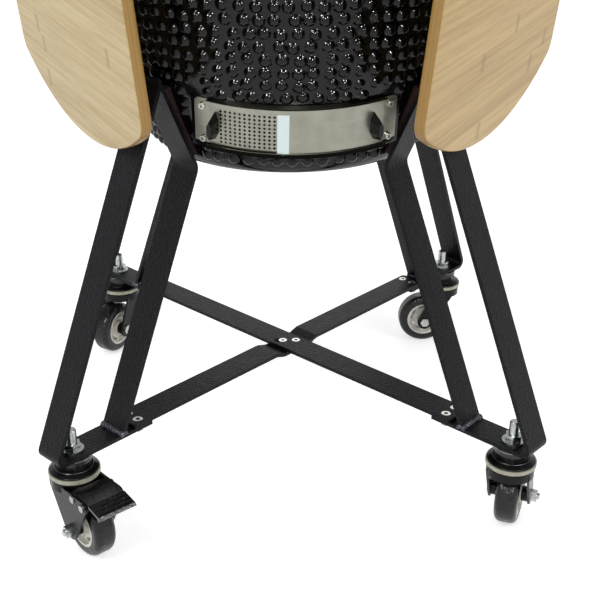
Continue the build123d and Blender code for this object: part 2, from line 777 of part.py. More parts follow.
def shelf_lug(offset):
    # Flat lug welded to the band, with the hinge pin through its nose.
    inner_edge = sqrt(band_outer ** 2 - (abs(offset) + lug_thickness / 2) ** 2) - shelf_hinge_reach
    low = band_low - shelf_hinge_height
    plate = block(inner_edge, 0, offset - lug_thickness / 2, offset + lug_thickness / 2, low, low + lug_height)
    nose = Pos(0, offset, 0) * Rot(90, 0, 0) * Cylinder(lug_nose, lug_thickness)
    pin = Pos(0, offset, 0) * Rot(90, 0, 0) * Cylinder(shelf_pin_diameter / 2, lug_thickness + 2 * shelf_pin_length)
    return plate + nose + pin


band_core = upright_rod(2 * band_outer, band_low - 2 * band_height, band_high + band_height)
lugs = [
    shelf_frame(side) * shelf_lug(end * shelf_lug_spread / 2) - band_core for side in (-1, 1) for end in (-1, 1)
]
nodes["shelf_brackets"] = group(lugs)

# Hanging shelves: local X out of the grill, Z up, turned in at the bottom by the tilt
hang = Rot(0, shelf_tilt, 0)
eye_offset = shelf_lug_spread / 2 - lug_thickness / 2 - face_gap - arm_width / 2
board_back = lug_nose + arm_thickness


def shelf_board():
    far = RectangleRounded(shelf_length, 2 * shelf_width, shelf_corner)
    far &= Pos(0, -shelf_width / 2) * Rectangle(2 * shelf_length, shelf_width)
    near = Pos(0, -shelf_width / 2) * RectangleRounded(shelf_length, shelf_width, shelf_inner_corner)
    near &= Pos(0, -shelf_inner_corner) * Rectangle(2 * shelf_length, 2 * shelf_inner_corner)
    middle = far & Pos(0, -shelf_width / 2 - shelf_inner_corner) * Rectangle(2 * shelf_length, shelf_width)
    outline = near + middle
    board = extrude(Plane.YZ * Pos(0, -shelf_top_gap) * outline, amount=shelf_thickness)
    faces = board.faces().group_by(Axis.X)
    board = fillet(faces[0].edges() + faces[-1].edges(), shelf_round)
    return Pos(board_back, 0, 0) * board


def shelf_arm(offset):
    # Steel strap under the board, with an eye round the hinge pin.
    strap = block(
        lug_nose, board_back, offset - arm_width / 2, offset + arm_width / 2, -arm_length - shelf_top_gap, 0
    )
    eye = Pos(0, offset, 0) * Rot(90, 0, 0) * Cylinder(arm_eye, arm_width)
    web = block(0, board_back, offset - arm_width / 2, offset + arm_width / 2, -arm_eye, arm_eye)
    arm = strap + eye + web
    return arm - Pos(0, offset, 0) * Rot(90, 0, 0) * Cylinder(shelf_pin_diameter / 2 + running_fit, 2 * arm_width)


for name, side in (("left", -1), ("right", 1)):
    nodes[name + "_shelf"] = shelf_frame(side) * hang * shelf_board()
    arms = [shelf_frame(side) * hang * shelf_arm(end * eye_offset) for end in (-1, 1)]
    nodes[name + "_shelf_arms"] = group(arms)

# Lid: part of a sphere, with the upper band, hinge, handle, vent and thermometer. All of it turns with the bands.
band_frame = Rot(0, 0, band_turn)
sphere_drop = (lid_rise ** 2 + lid_hole_radius ** 2 - bowl_rim_radius ** 2) / (2 * lid_rise)
sphere_centre = lid_base + sphere_drop
sphere_radius = sqrt(bowl_rim_radius ** 2 + sphere_drop ** 2)


def dome(grow):
    # Solid ball cut level at the lid's lower edge.
    ball = Pos(0, 0, sphere_centre) * Sphere(sphere_radius + grow)
    return ball & upright_rod(4 * sphere_radius, lid_base, lid_base + 2 * sphere_radius)


neck = upright_rod(2 * vent_neck_radius, lid_top - vent_neck_height - lid_wall, lid_top)
flue = upright_rod(2 * lid_hole_radius, lid_base, lid_top + lid_wall)
dial_place = sqrt(sphere_radius ** 2 - (dial_height - sphere_centre) ** 2)
dial_lean = degrees(atan2(dial_height - sphere_centre, dial_place))
dial_frame = Pos(0, -dial_place, dial_height) * Rot(90 - dial_lean, 0, 0)
dial_hole = dial_frame * Cylinder(dial_stem_diameter / 2 + running_fit, 4 * lid_wall)
nodes["lid"] = band_frame * (dome(0) + neck - dome(-lid_wall) - flue - dial_hole)

upper_low = lid_base + upper_band_rise
upper_slice = upright_rod(4 * sphere_radius, upper_low, upper_low + band_height)
upper_band = (dome(band_play + band_sheet) & upper_slice) - dome(band_play)
grip_height = upper_low + handle_rise
post = Rot(90, 0, 0) * Cylinder(
    post_diameter / 2, handle_reach, align=(Align.CENTER, Align.CENTER, Align.MIN)
)
posts = [Pos(end * handle_spread / 2, 0, grip_height) * post for end in (-1, 1)]
posts = [piece - dome(band_play) for piece in posts]
nodes["upper_band"] = band_frame * (upper_band + posts)
grip = Pos(0, -handle_reach, grip_height) * Rot(0, 90, 0) * Cylinder(handle_diameter / 2, handle_length)
grip = fillet(grip.edges(), handle_bow)
nodes["handle"] = band_frame * (grip - posts)


def hinge_pair(spread, low, high, inner):
    # Two upright plates at the back, each with an eye round the hinge pin.
    plates = []
    for side in (-1, 1):
        x = side * spread / 2
        plate = block(x - hinge_plate / 2, x + hinge_plate / 2, 0, hinge_reach, low, high)
        eye = Pos(x, hinge_reach, hinge_height) * Rot(0, 90, 0) * Cylinder(hinge_eye, hinge_plate)
        plates.append(plate + eye - inner)
    return plates


pin_line = Pos(0, hinge_reach, hinge_height) * Rot(0, 90, 0)
pin_room = pin_line * Cylinder(hinge_pin_diameter / 2 + running_fit, 2 * hinge_pin_length)
base_plates = hinge_pair(hinge_base_spread, band_low, hinge_height, band_core)
base_strap = curved_plate(
    band_outer, band_sheet, 180 - degrees(hinge_plate_width / band_outer),
    180 + degrees(hinge_plate_width / band_outer), band_low, band_high,
)
hinge_base = base_strap + base_plates - pin_line * Cylinder(hinge_pin_diameter / 2, 2 * hinge_pin_length)
nodes["hinge_base"] = band_frame * hinge_base
arm_inner = dome(band_play + band_sheet)
arm_plates = hinge_pair(hinge_arm_spread, hinge_height, upper_low + band_height, arm_inner)
nodes["hinge_arms"] = group(band_frame * (plate - pin_room) for plate in arm_plates)
nodes["hinge_pin"] = band_frame * pin_line * Cylinder(hinge_pin_diameter / 2, hinge_pin_length)

# Top vent: a base on the lid's neck and a turning cap with the same ring of holes
vent_base_top = lid_top + vent_sheet
cap_base = vent_base_top + face_gap
hole_ring = [
    Rot(0, 0, 360 / vent_holes * k) * Pos(vent_hole_circle, 0, 0) * upright_rod(
        2 * vent_hole_radius, lid_base, cap_base + 4 * vent_cap_height
    ) for k in range(vent_holes)
]
vent_base = upright_rod(2 * (vent_neck_radius + vent_sheet), lid_top - vent_skirt, vent_base_top)
vent_base -= upright_rod(2 * (vent_neck_radius + hole_play), lid_base, lid_top)
vent_base += upright_rod(vent_pin_diameter, lid_top, cap_base + vent_cap_height)
nodes["vent_base"] = band_frame * (vent_base - hole_ring)
vent_cap = upright_rod(2 * vent_cap_radius, cap_base, cap_base + vent_cap_height)
vent_cap = fillet(vent_cap.edges().group_by(Axis.Z)[-1], vent_cap_height / 2)
tab = block(
    -vent_tab_length / 3, vent_tab_length / 3, -vent_cap_radius - vent_tab_length, -vent_cap_radius / 2,
    cap_base, cap_base + vent_cap_height / 2,
)
vent_cap = vent_cap + tab - upright_rod(vent_pin_diameter + 2 * running_fit, lid_base, 2 * lid_top)
nodes["vent_cap"] = band_frame * (vent_cap - hole_ring)

dial = Pos(0, 0, face_gap + dial_depth / 2) * Cylinder(dial_diameter / 2, dial_depth)
dial = fillet(dial.edges().group_by(Axis.Z)[-1], dial_depth / 5)
probe = Cylinder(dial_stem_diameter / 2, 2 * lid_wall, align=(Align.CENTER, Align.CENTER, Align.MAX))
thermometer = dial_frame * dial - dome(0) + dial_frame * Pos(0, 0, dial_depth / 2) * probe
nodes["thermometer"] = band_frame * thermometer

os.makedirs("parts", exist_ok=True)
for name, shape in nodes.items():
    export_step(shape, os.path.join("parts", name + ".step"))
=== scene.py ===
import json
import math
import random

import bmesh
import bpy
from mathutils import Matrix, Vector
from mathutils.bvhtree import BVHTree


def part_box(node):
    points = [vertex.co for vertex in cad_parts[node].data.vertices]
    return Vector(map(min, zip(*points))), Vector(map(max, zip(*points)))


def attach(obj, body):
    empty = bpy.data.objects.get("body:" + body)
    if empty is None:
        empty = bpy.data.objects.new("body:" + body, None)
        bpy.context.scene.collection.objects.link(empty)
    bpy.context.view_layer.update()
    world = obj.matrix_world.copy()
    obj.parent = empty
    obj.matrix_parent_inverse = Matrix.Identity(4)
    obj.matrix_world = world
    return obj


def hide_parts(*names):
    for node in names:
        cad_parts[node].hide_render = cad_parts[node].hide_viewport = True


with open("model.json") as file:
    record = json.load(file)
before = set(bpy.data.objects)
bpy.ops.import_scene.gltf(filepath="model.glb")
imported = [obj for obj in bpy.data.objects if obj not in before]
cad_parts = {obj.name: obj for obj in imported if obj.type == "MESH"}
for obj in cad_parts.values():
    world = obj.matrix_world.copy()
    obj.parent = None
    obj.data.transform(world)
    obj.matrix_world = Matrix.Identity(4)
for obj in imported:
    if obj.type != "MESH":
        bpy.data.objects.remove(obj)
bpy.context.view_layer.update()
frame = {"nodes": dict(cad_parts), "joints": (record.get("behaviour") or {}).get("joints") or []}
nodes = frame["nodes"]
joints = {joint["name"]: joint for joint in frame["joints"]}
print("frame loaded:", len(nodes), "nodes")

cornerNames = ["front_left", "front_right", "back_left", "back_right"]
sideNames = ["left", "right"]
right = Vector((1, 0, 0))
up = Vector((0, 0, 1))
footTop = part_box("cross_bar_long")[0].z  # top of the foot bars, which carry the cross bars


# Materials

def tone(red, green, blue):
    # 8-bit display colour to the linear value that a shader takes
    def channel(value):
        value /= 255
        return value / 12.92 if value <= 0.04045 else ((value + 0.055) / 1.055) ** 2.4
    return (channel(red), channel(green), channel(blue), 1.0)


def setInputs(tree, node, inputs):
    # an output of another node is linked, any other value is set
    for key, value in inputs.items():
        if isinstance(value, bpy.types.NodeSocket):
            tree.links.new(value, node.inputs[key])
        else:
            node.inputs[key].default_value = value


def addNode(tree, kind, inputs=None, **settings):
    node = tree.nodes.new(kind)
    for key, value in settings.items():
        setattr(node, key, value)
    setInputs(tree, node, inputs or {})
    return node


def mathStep(tree, operation, first, second=0.0):
    return addNode(tree, "ShaderNodeMath", {0: first, 1: second}, operation=operation).outputs[0]


def between(tree, value, low, high):
    above = mathStep(tree, "GREATER_THAN", value, low)
    return mathStep(tree, "MULTIPLY", above, mathStep(tree, "LESS_THAN", value, high))


def splitAxes(tree, vector):
    return addNode(tree, "ShaderNodeSeparateXYZ", {"Vector": vector}).outputs


def turnInto(tree, place, origin, ways):
    # coordinates along three ways at right angles to each other, from an origin
    inputs = {"Vector": place, "Location": origin, "Rotation": Matrix(ways).transposed().to_euler()}
    return addNode(tree, "ShaderNodeMapping", inputs, vector_type="TEXTURE").outputs["Vector"]


def stretchBy(tree, vector, scale):
    return addNode(tree, "ShaderNodeMapping", {"Vector": vector, "Scale": scale}).outputs["Vector"]


def noiseAt(tree, place, scale, detail=3.0, rough=0.55):
    inputs = {"Vector": place, "Scale": scale, "Detail": detail, "Roughness": rough}
    return addNode(tree, "ShaderNodeTexNoise", inputs).outputs["Fac"]


def spread(tree, factor, low, high):
    inputs = {"Value": factor, "To Min": low, "To Max": high}
    return addNode(tree, "ShaderNodeMapRange", inputs).outputs["Result"]


def blendTones(tree, factor, low, high, start=0.3, stop=0.7):
    ramp = addNode(tree, "ShaderNodeValToRGB", {"Fac": factor})
    for element, position, color in zip(ramp.color_ramp.elements, (start, stop), (low, high)):
        element.position = position
        element.color = color
    return ramp.outputs["Color"]


def mixTones(tree, factor, first, second):
    inputs = {"Factor": factor, "A": first, "B": second}
    return addNode(tree, "ShaderNodeMix", inputs, data_type="RGBA").outputs["Result"]


def raiseRelief(tree, shader, height, distance, strength=1.0):
    bump = addNode(tree, "ShaderNodeBump", {"Height": height, "Distance": distance, "Strength": strength})
    setInputs(tree, shader, {"Normal": bump.outputs["Normal"]})


def startFinish(name, color, roughness, metallic=0.0):
    material = bpy.data.materials.new(name)
    material.use_nodes = True
    tree = material.node_tree
    shader = tree.nodes["Principled BSDF"]
    setInputs(tree, shader, {"Base Color": color, "Roughness": roughness, "Metallic": metallic})
    place = addNode(tree, "ShaderNodeTexCoord").outputs["Object"]
    return material, tree, shader, place


paintLook = {"wear": 0.07, "wearScale": 5}


def paintFinish(name, low, high, roughness, grain, relief, gloss=0.5, contrast=0.2):
    # coloured coat with a fine grain that shows in its colour, gloss and relief
    material, tree, shader, place = startFinish(name, high, roughness)
    speck = noiseAt(tree, place, grain)
    worn = noiseAt(tree, place, grain / paintLook["wearScale"])
    setInputs(tree, shader, {
        "Base Color": blendTones(tree, speck, low, high, 0.5 - contrast, 0.5 + contrast),
        "Roughness": spread(tree, worn, roughness - paintLook["wear"], roughness + paintLook["wear"]),
        "Specular IOR Level": gloss})
    raiseRelief(tree, shader, speck, relief)
    return material


brushLook = {
    "detail": 4.0, "smoother": 0.1, "rougher": 0.12, "relief": 0.00008, "strength": 0.6, "cloud": 30.0}


def brush(tree, shader, drawn, grain, roughness):
    # drawn lines in the gloss and relief of a metal
    line = noiseAt(tree, drawn, grain, brushLook["detail"])
    gloss = spread(tree, line, roughness - brushLook["smoother"], roughness + brushLook["rougher"])
    setInputs(tree, shader, {"Roughness": gloss})
    raiseRelief(tree, shader, line, brushLook["relief"], brushLook["strength"])


def metalFinish(name, color, dark, roughness, grain, squeeze=(1, 1, 1)):
    # bare metal, with its brushing drawn out along the axes that squeeze makes small
    material, tree, shader, place = startFinish(name, color, roughness, 1.0)
    brush(tree, shader, stretchBy(tree, place, squeeze), grain, roughness)
    cloud = noiseAt(tree, place, brushLook["cloud"])
    setInputs(tree, shader, {"Base Color": blendTones(tree, cloud, dark, color)})
    return material


stemLook = {
    "zinc": tone(198, 202, 199), "zincDark": tone(138, 144, 144), "headZinc": tone(232, 232, 224),
    "black": tone(20, 20, 21), "blackDark": tone(9, 9, 10), "cloud": 160.0, "headCloud": 300.0,
    "roughness": 0.3, "smoothest": 0.24, "roughest": 0.38, "headDrop": 0.0055,
}


def stemFinish():
    # zinc stud over a blackened caster head, parted a little below the top of the foot bars
    look = stemLook
    material, tree, shader, place = startFinish("zincStemBlackHead", look["zinc"], look["roughness"])
    above = mathStep(tree, "GREATER_THAN", splitAxes(tree, place)["Z"], footTop - look["headDrop"])
    cloud = noiseAt(tree, place, look["cloud"])
    zinc = blendTones(tree, cloud, look["zincDark"], look["zinc"])
    black = blendTones(tree, cloud, look["blackDark"], look["black"])
    setInputs(tree, shader, {
        "Base Color": mixTones(tree, above, black, zinc), "Metallic": above,
        "Roughness": spread(tree, cloud, look["smoothest"], look["roughest"])})
    return material


def socketFinish():
    # zinc head whose stored shade darkens the inside of the socket
    look = stemLook
    material, tree, shader, place = startFinish("zincSocket", look["zinc"], look["roughness"])
    shade = addNode(tree, "ShaderNodeAttribute", attribute_name="shade").outputs["Fac"]
    zinc = blendTones(tree, noiseAt(tree, place, look["headCloud"]), look["zinc"], look["headZinc"])
    setInputs(tree, shader, {
        "Base Color": mixTones(tree, shade, zinc, look["blackDark"]),
        "Metallic": mathStep(tree, "SUBTRACT", 1.0, shade)})
    return material


# the bright hem tone is a painted highlight on the door's folded edge
sheetLook = {
    "steel": tone(150, 149, 138), "steelDark": tone(134, 133, 122), "roughness": 0.3, "grain": 260.0,
    "squeeze": (0.05, 0.05, 1.6), "cloud": 45.0, "hemHighlight": tone(194, 206, 207), "hemFrom": -0.0226,
    # the near-black tone below is painted shade, used on the hole walls and on the lower rail under the door
    "hemTo": -0.0054, "paintedShade": tone(14, 14, 13), "skinShare": 0.25, "railHeight": 0.005,
}
# the local axes of the draft sheets are x to the right, y into the bowl and z up the slide axis
slideOrigin = Vector(joints["draft_door_slide"]["pos_m"])
slideAxis = Vector(joints["draft_door_slide"]["axis"]).normalized()
slideRight = Vector((0, 1, 0)).cross(slideAxis).normalized()
slideWays = (slideRight, slideAxis.cross(slideRight), slideAxis)


def slidePoints(name):
    turn = Matrix(slideWays)
    return [turn @ (vertex.co - slideOrigin) for vertex in nodes[name].data.vertices]


def hemHighlightPatch(tree, axis):
    # painted highlight: the folded edge on the left of the door gets a brighter tone, standing in for the light it
    # catches
    return between(tree, axis["X"], sheetLook["hemFrom"], sheetLook["hemTo"])


def holeShadePatch(tree, axis):
    # painted shade: the walls of the holes, which lie inside the thickness of the sheet, are darkened where shade
    # falls in them
    reaches = [math.hypot(point.x, point.y) for point in slidePoints("draft_screen")]
    skin = (max(reaches) - min(reaches)) * sheetLook["skinShare"]
    squares = [mathStep(tree, "MULTIPLY", axis[letter], axis[letter]) for letter in "XY"]
    reach = mathStep(tree, "SQRT", mathStep(tree, "ADD", *squares))
    return between(tree, reach, min(reaches) + skin, max(reaches) - skin)


def railShadowPatch(tree, axis):
    # painted shadow: the lower rail under the door is darkened
    low = min(point.z for point in slidePoints("draft_frame"))
    return mathStep(tree, "LESS_THAN", axis["Z"], low + sheetLook["railHeight"])


def sheetFinish(name, patch, patchTone):
    # brushed sheet bent round the slide axis, with one part of it in a painted tone: a painted highlight on the
    # door's hem, painted shade on the hole walls and on the lower rail
    look = sheetLook
    material, tree, shader, place = startFinish(name, look["steel"], look["roughness"], 1.0)
    local = turnInto(tree, place, slideOrigin, slideWays)
    brush(tree, shader, stretchBy(tree, local, look["squeeze"]), look["grain"], look["roughness"])
    steel = blendTones(tree, noiseAt(tree, place, look["cloud"]), look["steelDark"], look["steel"])
    mask = patch(tree, splitAxes(tree, local))
    setInputs(tree, shader, {"Base Color": mixTones(tree, mask, steel, patchTone)})
    return material


glazeLook = {
    "low": tone(3, 3, 4), "high": tone(8, 8, 9), "gloss": 0.27, "smoothest": 0.03, "roughest": 0.11,
    "waves": 60.0, "pinholes": 420.0, "pinDetail": 2.0, "pinDepth": 0.0003, "pinStrength": 0.3,
}


def glazeFinish():
    # thin black glaze, a little wavy and with pinholes
    look = glazeLook
    material, tree, shader, place = startFinish("blackGlaze", look["high"], look["roughest"])
    cloud = noiseAt(tree, place, look["waves"])
    setInputs(tree, shader, {
        "Base Color": blendTones(tree, cloud, look["low"], look["high"]),
        "Roughness": spread(tree, cloud, look["smoothest"], look["roughest"]),
        "Specular IOR Level": look["gloss"]})
    pin = noiseAt(tree, place, look["pinholes"], look["pinDetail"])
    raiseRelief(tree, shader, pin, look["pinDepth"], look["pinStrength"])
    return material


bambooLook = {
    "strip": 0.0205, "grainLean": 7.5, "stretch": (1.0, 0.035, 1.0), "streak": 210.0, "fibre": 900.0,
    "fibreDetail": 5.0, "fibreRough": 0.65, "stripShare": 0.22, "streakShare": 0.78, "fibreShare": 0.6,
    "toneFrom": 0.3, "toneTo": 0.68, "nodeStep": 0.36, "nodeWidth": 0.0034, "nodeMark": 0.42,
    "nodeShift": 7.3, "knot": tone(118, 82, 42), "edge": tone(158, 120, 50), "skin": 0.0006, "ply": 0.0044,
    "plyFibre": 0.3, "plyFrom": 0.45, "plyTo": 1.0, "roughness": 0.38, "smoothest": 0.3, "roughest": 0.48,
    "coat": 0.2, "coatRoughness": 0.25, "relief": 0.00012, "strength": 0.5,
}
boardTones = {
    "left": (tone(175, 147, 90), tone(204, 181, 130)), "right": (tone(166, 133, 70), tone(194, 163, 102)),
    "grip": (tone(170, 140, 82), tone(198, 172, 118)),
}


def bambooFinish(name, origin, out, along, depths=None):
    # the local axes are x out of the face, y along the hinge, z across it; the strips lean off the hinge line,
    # and depths says where the two faces lie along x
    look = bambooLook
    deep, pale = boardTones[name]
    material, tree, shader, place = startFinish("bamboo" + name.capitalize(), pale, look["roughness"])

    def step(operation, first, second=0.0):
        return mathStep(tree, operation, first, second)

    def turned(first):
        return turnInto(tree, place, origin, (out, first, out.cross(first)))

    def fromMiddle(value):
        return step("ABSOLUTE", step("SUBTRACT", step("FRACT", value), 0.5))

    axis = splitAxes(tree, turned(along))
    side = 1 if out.cross(along).z < 0 else -1
    grain = turned(Matrix.Rotation(math.radians(look["grainLean"]) * side, 3, out) @ along)
    strip = step("FLOOR", step("DIVIDE", splitAxes(tree, grain)["Z"], look["strip"]))
    stripTone = addNode(tree, "ShaderNodeTexWhiteNoise", {"W": strip}, noise_dimensions="1D").outputs["Value"]
    stretch = stretchBy(tree, grain, look["stretch"])
    fibre = noiseAt(tree, stretch, look["fibre"], look["fibreDetail"], look["fibreRough"])
    streak = step("MULTIPLY", noiseAt(tree, stretch, look["streak"]), look["streakShare"])
    mixed = step("ADD", step("MULTIPLY", stripTone, look["stripShare"]), streak)
    mixed = step("ADD", mixed, step("MULTIPLY", step("SUBTRACT", fibre, 0.5), look["fibreShare"]))
    color = blendTones(tree, mixed, deep, pale, look["toneFrom"], look["toneTo"])
    # a dark growth ring crosses each strip now and then
    shift = step("MULTIPLY", stripTone, look["nodeShift"])
    ring = fromMiddle(step("ADD", step("DIVIDE", axis["Y"], look["nodeStep"]), shift))
    reach = {"From Max": 2 * look["nodeWidth"] / look["nodeStep"], "To Min": 1.0, "To Max": 0.0}
    ring = addNode(tree, "ShaderNodeMapRange", {"Value": ring, **reach}, interpolation_type="SMOOTHSTEP")
    mark = step("MULTIPLY", ring.outputs["Result"], look["nodeMark"])
    color = mixTones(tree, mark, color, look["knot"])
    if depths:
        ply = fromMiddle(step("DIVIDE", axis["X"], look["ply"]))
        ply = step("ADD", ply, step("MULTIPLY", fibre, look["plyFibre"]))
        plyTone = blendTones(tree, ply, look["edge"], look["knot"], look["plyFrom"], look["plyTo"])
        inside = between(tree, axis["X"], depths[0] + look["skin"], depths[1] - look["skin"])
        color = mixTones(tree, inside, color, plyTone)
    setInputs(tree, shader, {
        "Base Color": color, "Roughness": spread(tree, fibre, look["smoothest"], look["roughest"]),
        "Coat Weight": look["coat"], "Coat Roughness": look["coatRoughness"]})
    raiseRelief(tree, shader, step("SUBTRACT", fibre, mark), look["relief"], look["strength"])
    return material


finishes = {
    "coat": paintFinish(
        "powderCoat", tone(1, 1, 3), tone(16, 17, 23),
        roughness=0.42, grain=380.0, relief=0.0011, gloss=0.15, contrast=0.05),
    "glaze": glazeFinish(),
    "steelBlack": paintFinish(
        "glossBlackSteel", tone(2, 2, 3), tone(10, 10, 10), roughness=0.24, grain=240.0, relief=0.0004, gloss=0.2),
    "pedal": paintFinish(
        "pedalBlack", tone(3, 3, 4), tone(12, 12, 13), roughness=0.2, grain=200.0, relief=0.0006, gloss=0.7),
    "tread": paintFinish(
        "blackTread", tone(3, 3, 4), tone(26, 26, 26),
        roughness=0.26, grain=190.0, relief=0.0009, gloss=0.36, contrast=0.12),
    "rim": paintFinish(
        "creamRim", tone(216, 213, 203), tone(234, 232, 223), roughness=0.36, grain=90.0, relief=0.00015),
    "ring": paintFinish(
        "dustRing", tone(152, 150, 132), tone(186, 184, 166), roughness=0.5, grain=120.0, relief=0.0002),
    "knob": paintFinish(
        "blackKnob", tone(5, 5, 6), tone(13, 13, 14), roughness=0.25, grain=320.0, relief=0.00012, gloss=0.25),
    "pad": paintFinish(
        "heatPad", tone(36, 20, 17), tone(62, 34, 28), roughness=0.8, grain=260.0, relief=0.0004, gloss=0.3),
    "clay": paintFinish(
        "fireClay", tone(168, 132, 98), tone(203, 172, 134), roughness=0.85, grain=150.0, relief=0.0008),
    "iron": paintFinish(
        "castIron", tone(42, 42, 44), tone(70, 70, 72), roughness=0.6, grain=380.0, relief=0.0006),
    "enamel": paintFinish(
        "capEnamel", tone(20, 20, 21), tone(36, 36, 37), roughness=0.45, grain=420.0, relief=0.0003, gloss=0.2),
    "felt": paintFinish(
        "gasketFelt", tone(150, 148, 140), tone(190, 188, 180), roughness=0.95, grain=700.0, relief=0.0012),
    "paper": paintFinish(
        "dialFace", tone(226, 225, 220), tone(238, 237, 232), roughness=0.5, grain=200.0, relief=0.00005),
    "ink": paintFinish(
        "dialInk", tone(18, 18, 20), tone(30, 30, 32), roughness=0.5, grain=200.0, relief=0.00005),
    "stainless": metalFinish(
        "brushedStainless", sheetLook["steel"], tone(136, 135, 124),
        roughness=0.3, grain=sheetLook["grain"], squeeze=sheetLook["squeeze"]),
    "zinc": metalFinish("brightZinc", tone(200, 203, 199), tone(138, 143, 142), roughness=0.24, grain=420.0),
    "weld": paintFinish(
        "weldCoat", tone(26, 27, 34), tone(84, 88, 100), roughness=0.26, grain=420.0, relief=0.0005),
    "socket": socketFinish(),
    # the door's hem carries a painted highlight, and the screen's holes and the frame's lower rail carry painted
    # shade
    "door": sheetFinish("doorSteel", hemHighlightPatch, sheetLook["hemHighlight"]),
    "screen": sheetFinish("screenSteel", holeShadePatch, sheetLook["paintedShade"]),
    "frame": sheetFinish("frameSteel", railShadowPatch, sheetLook["paintedShade"]),
    "stem": stemFinish(),
}

boardFrames = {}  # hinge, way out of the face and way along the hinge to the front
for side in sideNames:
    fold = joints[side + "_shelf_fold"]
    board = nodes[side + "_shelf"].data
    hinge = Vector(fold["pos_m"])
    out = max(board.polygons, key=lambda face: face.area).normal.normalized()
    along = Vector(fold["axis"]).normalized()
    boardFrames[side] = (hinge, out, along if along.y < 0 else -along)
    reaches = [(vertex.co - hinge).dot(out) for vertex in board.vertices]
    finishes[side + "Bamboo"] = bambooFinish(side, *boardFrames[side], (min(reaches), max(reaches)))
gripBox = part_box("handle")
gripAlong = Vector(joints["lid_lift"]["axis"]).normalized()
finishes["grip"] = bambooFinish(
    "grip", (gripBox[0] + gripBox[1]) / 2, gripAlong.cross(up).normalized(), gripAlong)

finishOf = {
    "bowl": "glaze", "lid": "glaze", "cradle_pads": "pad", "caster_stems": "stem", "stem_nuts": "zinc",
    "swivel_rings": "ring", "brace_screws": "zinc", "brace_nuts": "zinc", "firebox": "clay", "fire_ring": "clay",
    "fire_grate": "iron", "cooking_grate": "stainless", "draft_frame": "frame", "draft_screen": "screen",
    "draft_door": "door", "draft_screws": "stainless", "screen_knob": "knob", "door_knob": "knob",
    "left_shelf": "leftBamboo", "right_shelf": "rightBamboo", "handle": "grip", "hinge_pin": "zinc",
    "vent_base": "enamel", "vent_cap": "enamel", "thermometer": "stainless", "brake_pedal": "pedal",
}
casterFinishOf = {"fork_": "steelBlack", "axle_": "zinc", "rim_": "rim", "tyre_": "tread"}
for corner in cornerNames:
    for part, finish in casterFinishOf.items():
        finishOf[part + corner] = finish


def dress(piece, finish):
    piece.data.materials.clear()
    piece.data.materials.append(finishes[finish])


for name, node in nodes.items():
    dress(node, finishOf.get(name, "coat"))
print("finishes set on the nodes:", len(finishes))


# Shapes that repeat, placed by a node tree

def addObject(name, data):
    made = bpy.data.objects.new(name, data)
    bpy.context.scene.collection.objects.link(made)
    return made


def finishMesh(name, builder, smooth=True):
    mesh = bpy.data.meshes.new(name)
    builder.to_mesh(mesh)
    builder.free()
    for polygon in mesh.polygons:
        polygon.use_smooth = smooth
    return addObject(name, mesh)


def joinRows(builder, rows, closed=False):
    # faces between neighbouring rows of points; a row may be one point over and over
    count = len(rows[0])
    pairs = list(zip(rows, rows[1:])) + ([(rows[-1], rows[0])] if closed else [])
    for first, second in pairs:
        for k in range(count):
            corners = [first[k], first[(k + 1) % count], second[(k + 1) % count], second[k]]
            unique = list(dict.fromkeys(corners))
            if len(unique) > 2:
                builder.faces.new(unique)


def ringMesh(name, profile, segments, closed=False):
    # turns a profile of (radius, height) points about Z
    builder = bmesh.new()
    angles = [math.tau * k / segments for k in range(segments)]
    rows = []
    for radius, height in profile:
        if radius:
            ring = [(radius * math.cos(angle), radius * math.sin(angle), height) for angle in angles]
            rows.append([builder.verts.new(point) for point in ring])
        else:
            rows.append([builder.verts.new((0, 0, height))] * segments)
    joinRows(builder, rows, closed)
    bmesh.ops.recalc_face_normals(builder, faces=builder.faces)
    return finishMesh(name, builder)


def scatterTree():
    tree = bpy.data.node_groups.new("placeShapes", "GeometryNodeTree")
    kinds = {"Geometry": "Geometry", "Shape": "Object", "Finish": "Material", "Size Spread": "Float", "Seed": "Int"}
    for label, kind in kinds.items():
        tree.interface.new_socket(label, in_out="INPUT", socket_type="NodeSocket" + kind)
    tree.interface.new_socket("Geometry", in_out="OUTPUT", socket_type="NodeSocketGeometry")
    start = addNode(tree, "NodeGroupInput").outputs

    def stored(name, kind):
        return addNode(tree, "GeometryNodeInputNamedAttribute", {"Name": name}, data_type=kind).outputs["Attribute"]

    def aligned(inputs, **settings):
        return addNode(tree, "FunctionNodeAlignRotationToVector", inputs, **settings).outputs[0]

    shape = addNode(tree, "GeometryNodeObjectInfo", {"Object": start["Shape"]}).outputs["Geometry"]
    upright = aligned({"Vector": stored("outward", "FLOAT_VECTOR")}, axis="Z")
    turned = aligned(
        {"Rotation": upright, "Vector": stored("along", "FLOAT_VECTOR")}, axis="X", pivot_axis="Z")
    least = mathStep(tree, "SUBTRACT", 1.0, start["Size Spread"])
    most = mathStep(tree, "ADD", 1.0, start["Size Spread"])
    # inputs 2 and 3 and output 1 are the limits and result of the plain number
    chance = addNode(
        tree, "FunctionNodeRandomValue", {2: least, 3: most, "Seed": start["Seed"]}, data_type="FLOAT")
    size = mathStep(tree, "MULTIPLY", stored("size", "FLOAT"), chance.outputs[1])
    copies = addNode(tree, "GeometryNodeInstanceOnPoints", {
        "Points": start["Geometry"], "Instance": shape, "Rotation": turned, "Scale": size}).outputs[0]
    real = addNode(tree, "GeometryNodeRealizeInstances", {"Geometry": copies}).outputs[0]
    painted = addNode(tree, "GeometryNodeSetMaterial", {"Geometry": real, "Material": start["Finish"]}).outputs[0]
    addNode(tree, "NodeGroupOutput", {"Geometry": painted})
    return tree


placeShapes = scatterTree()


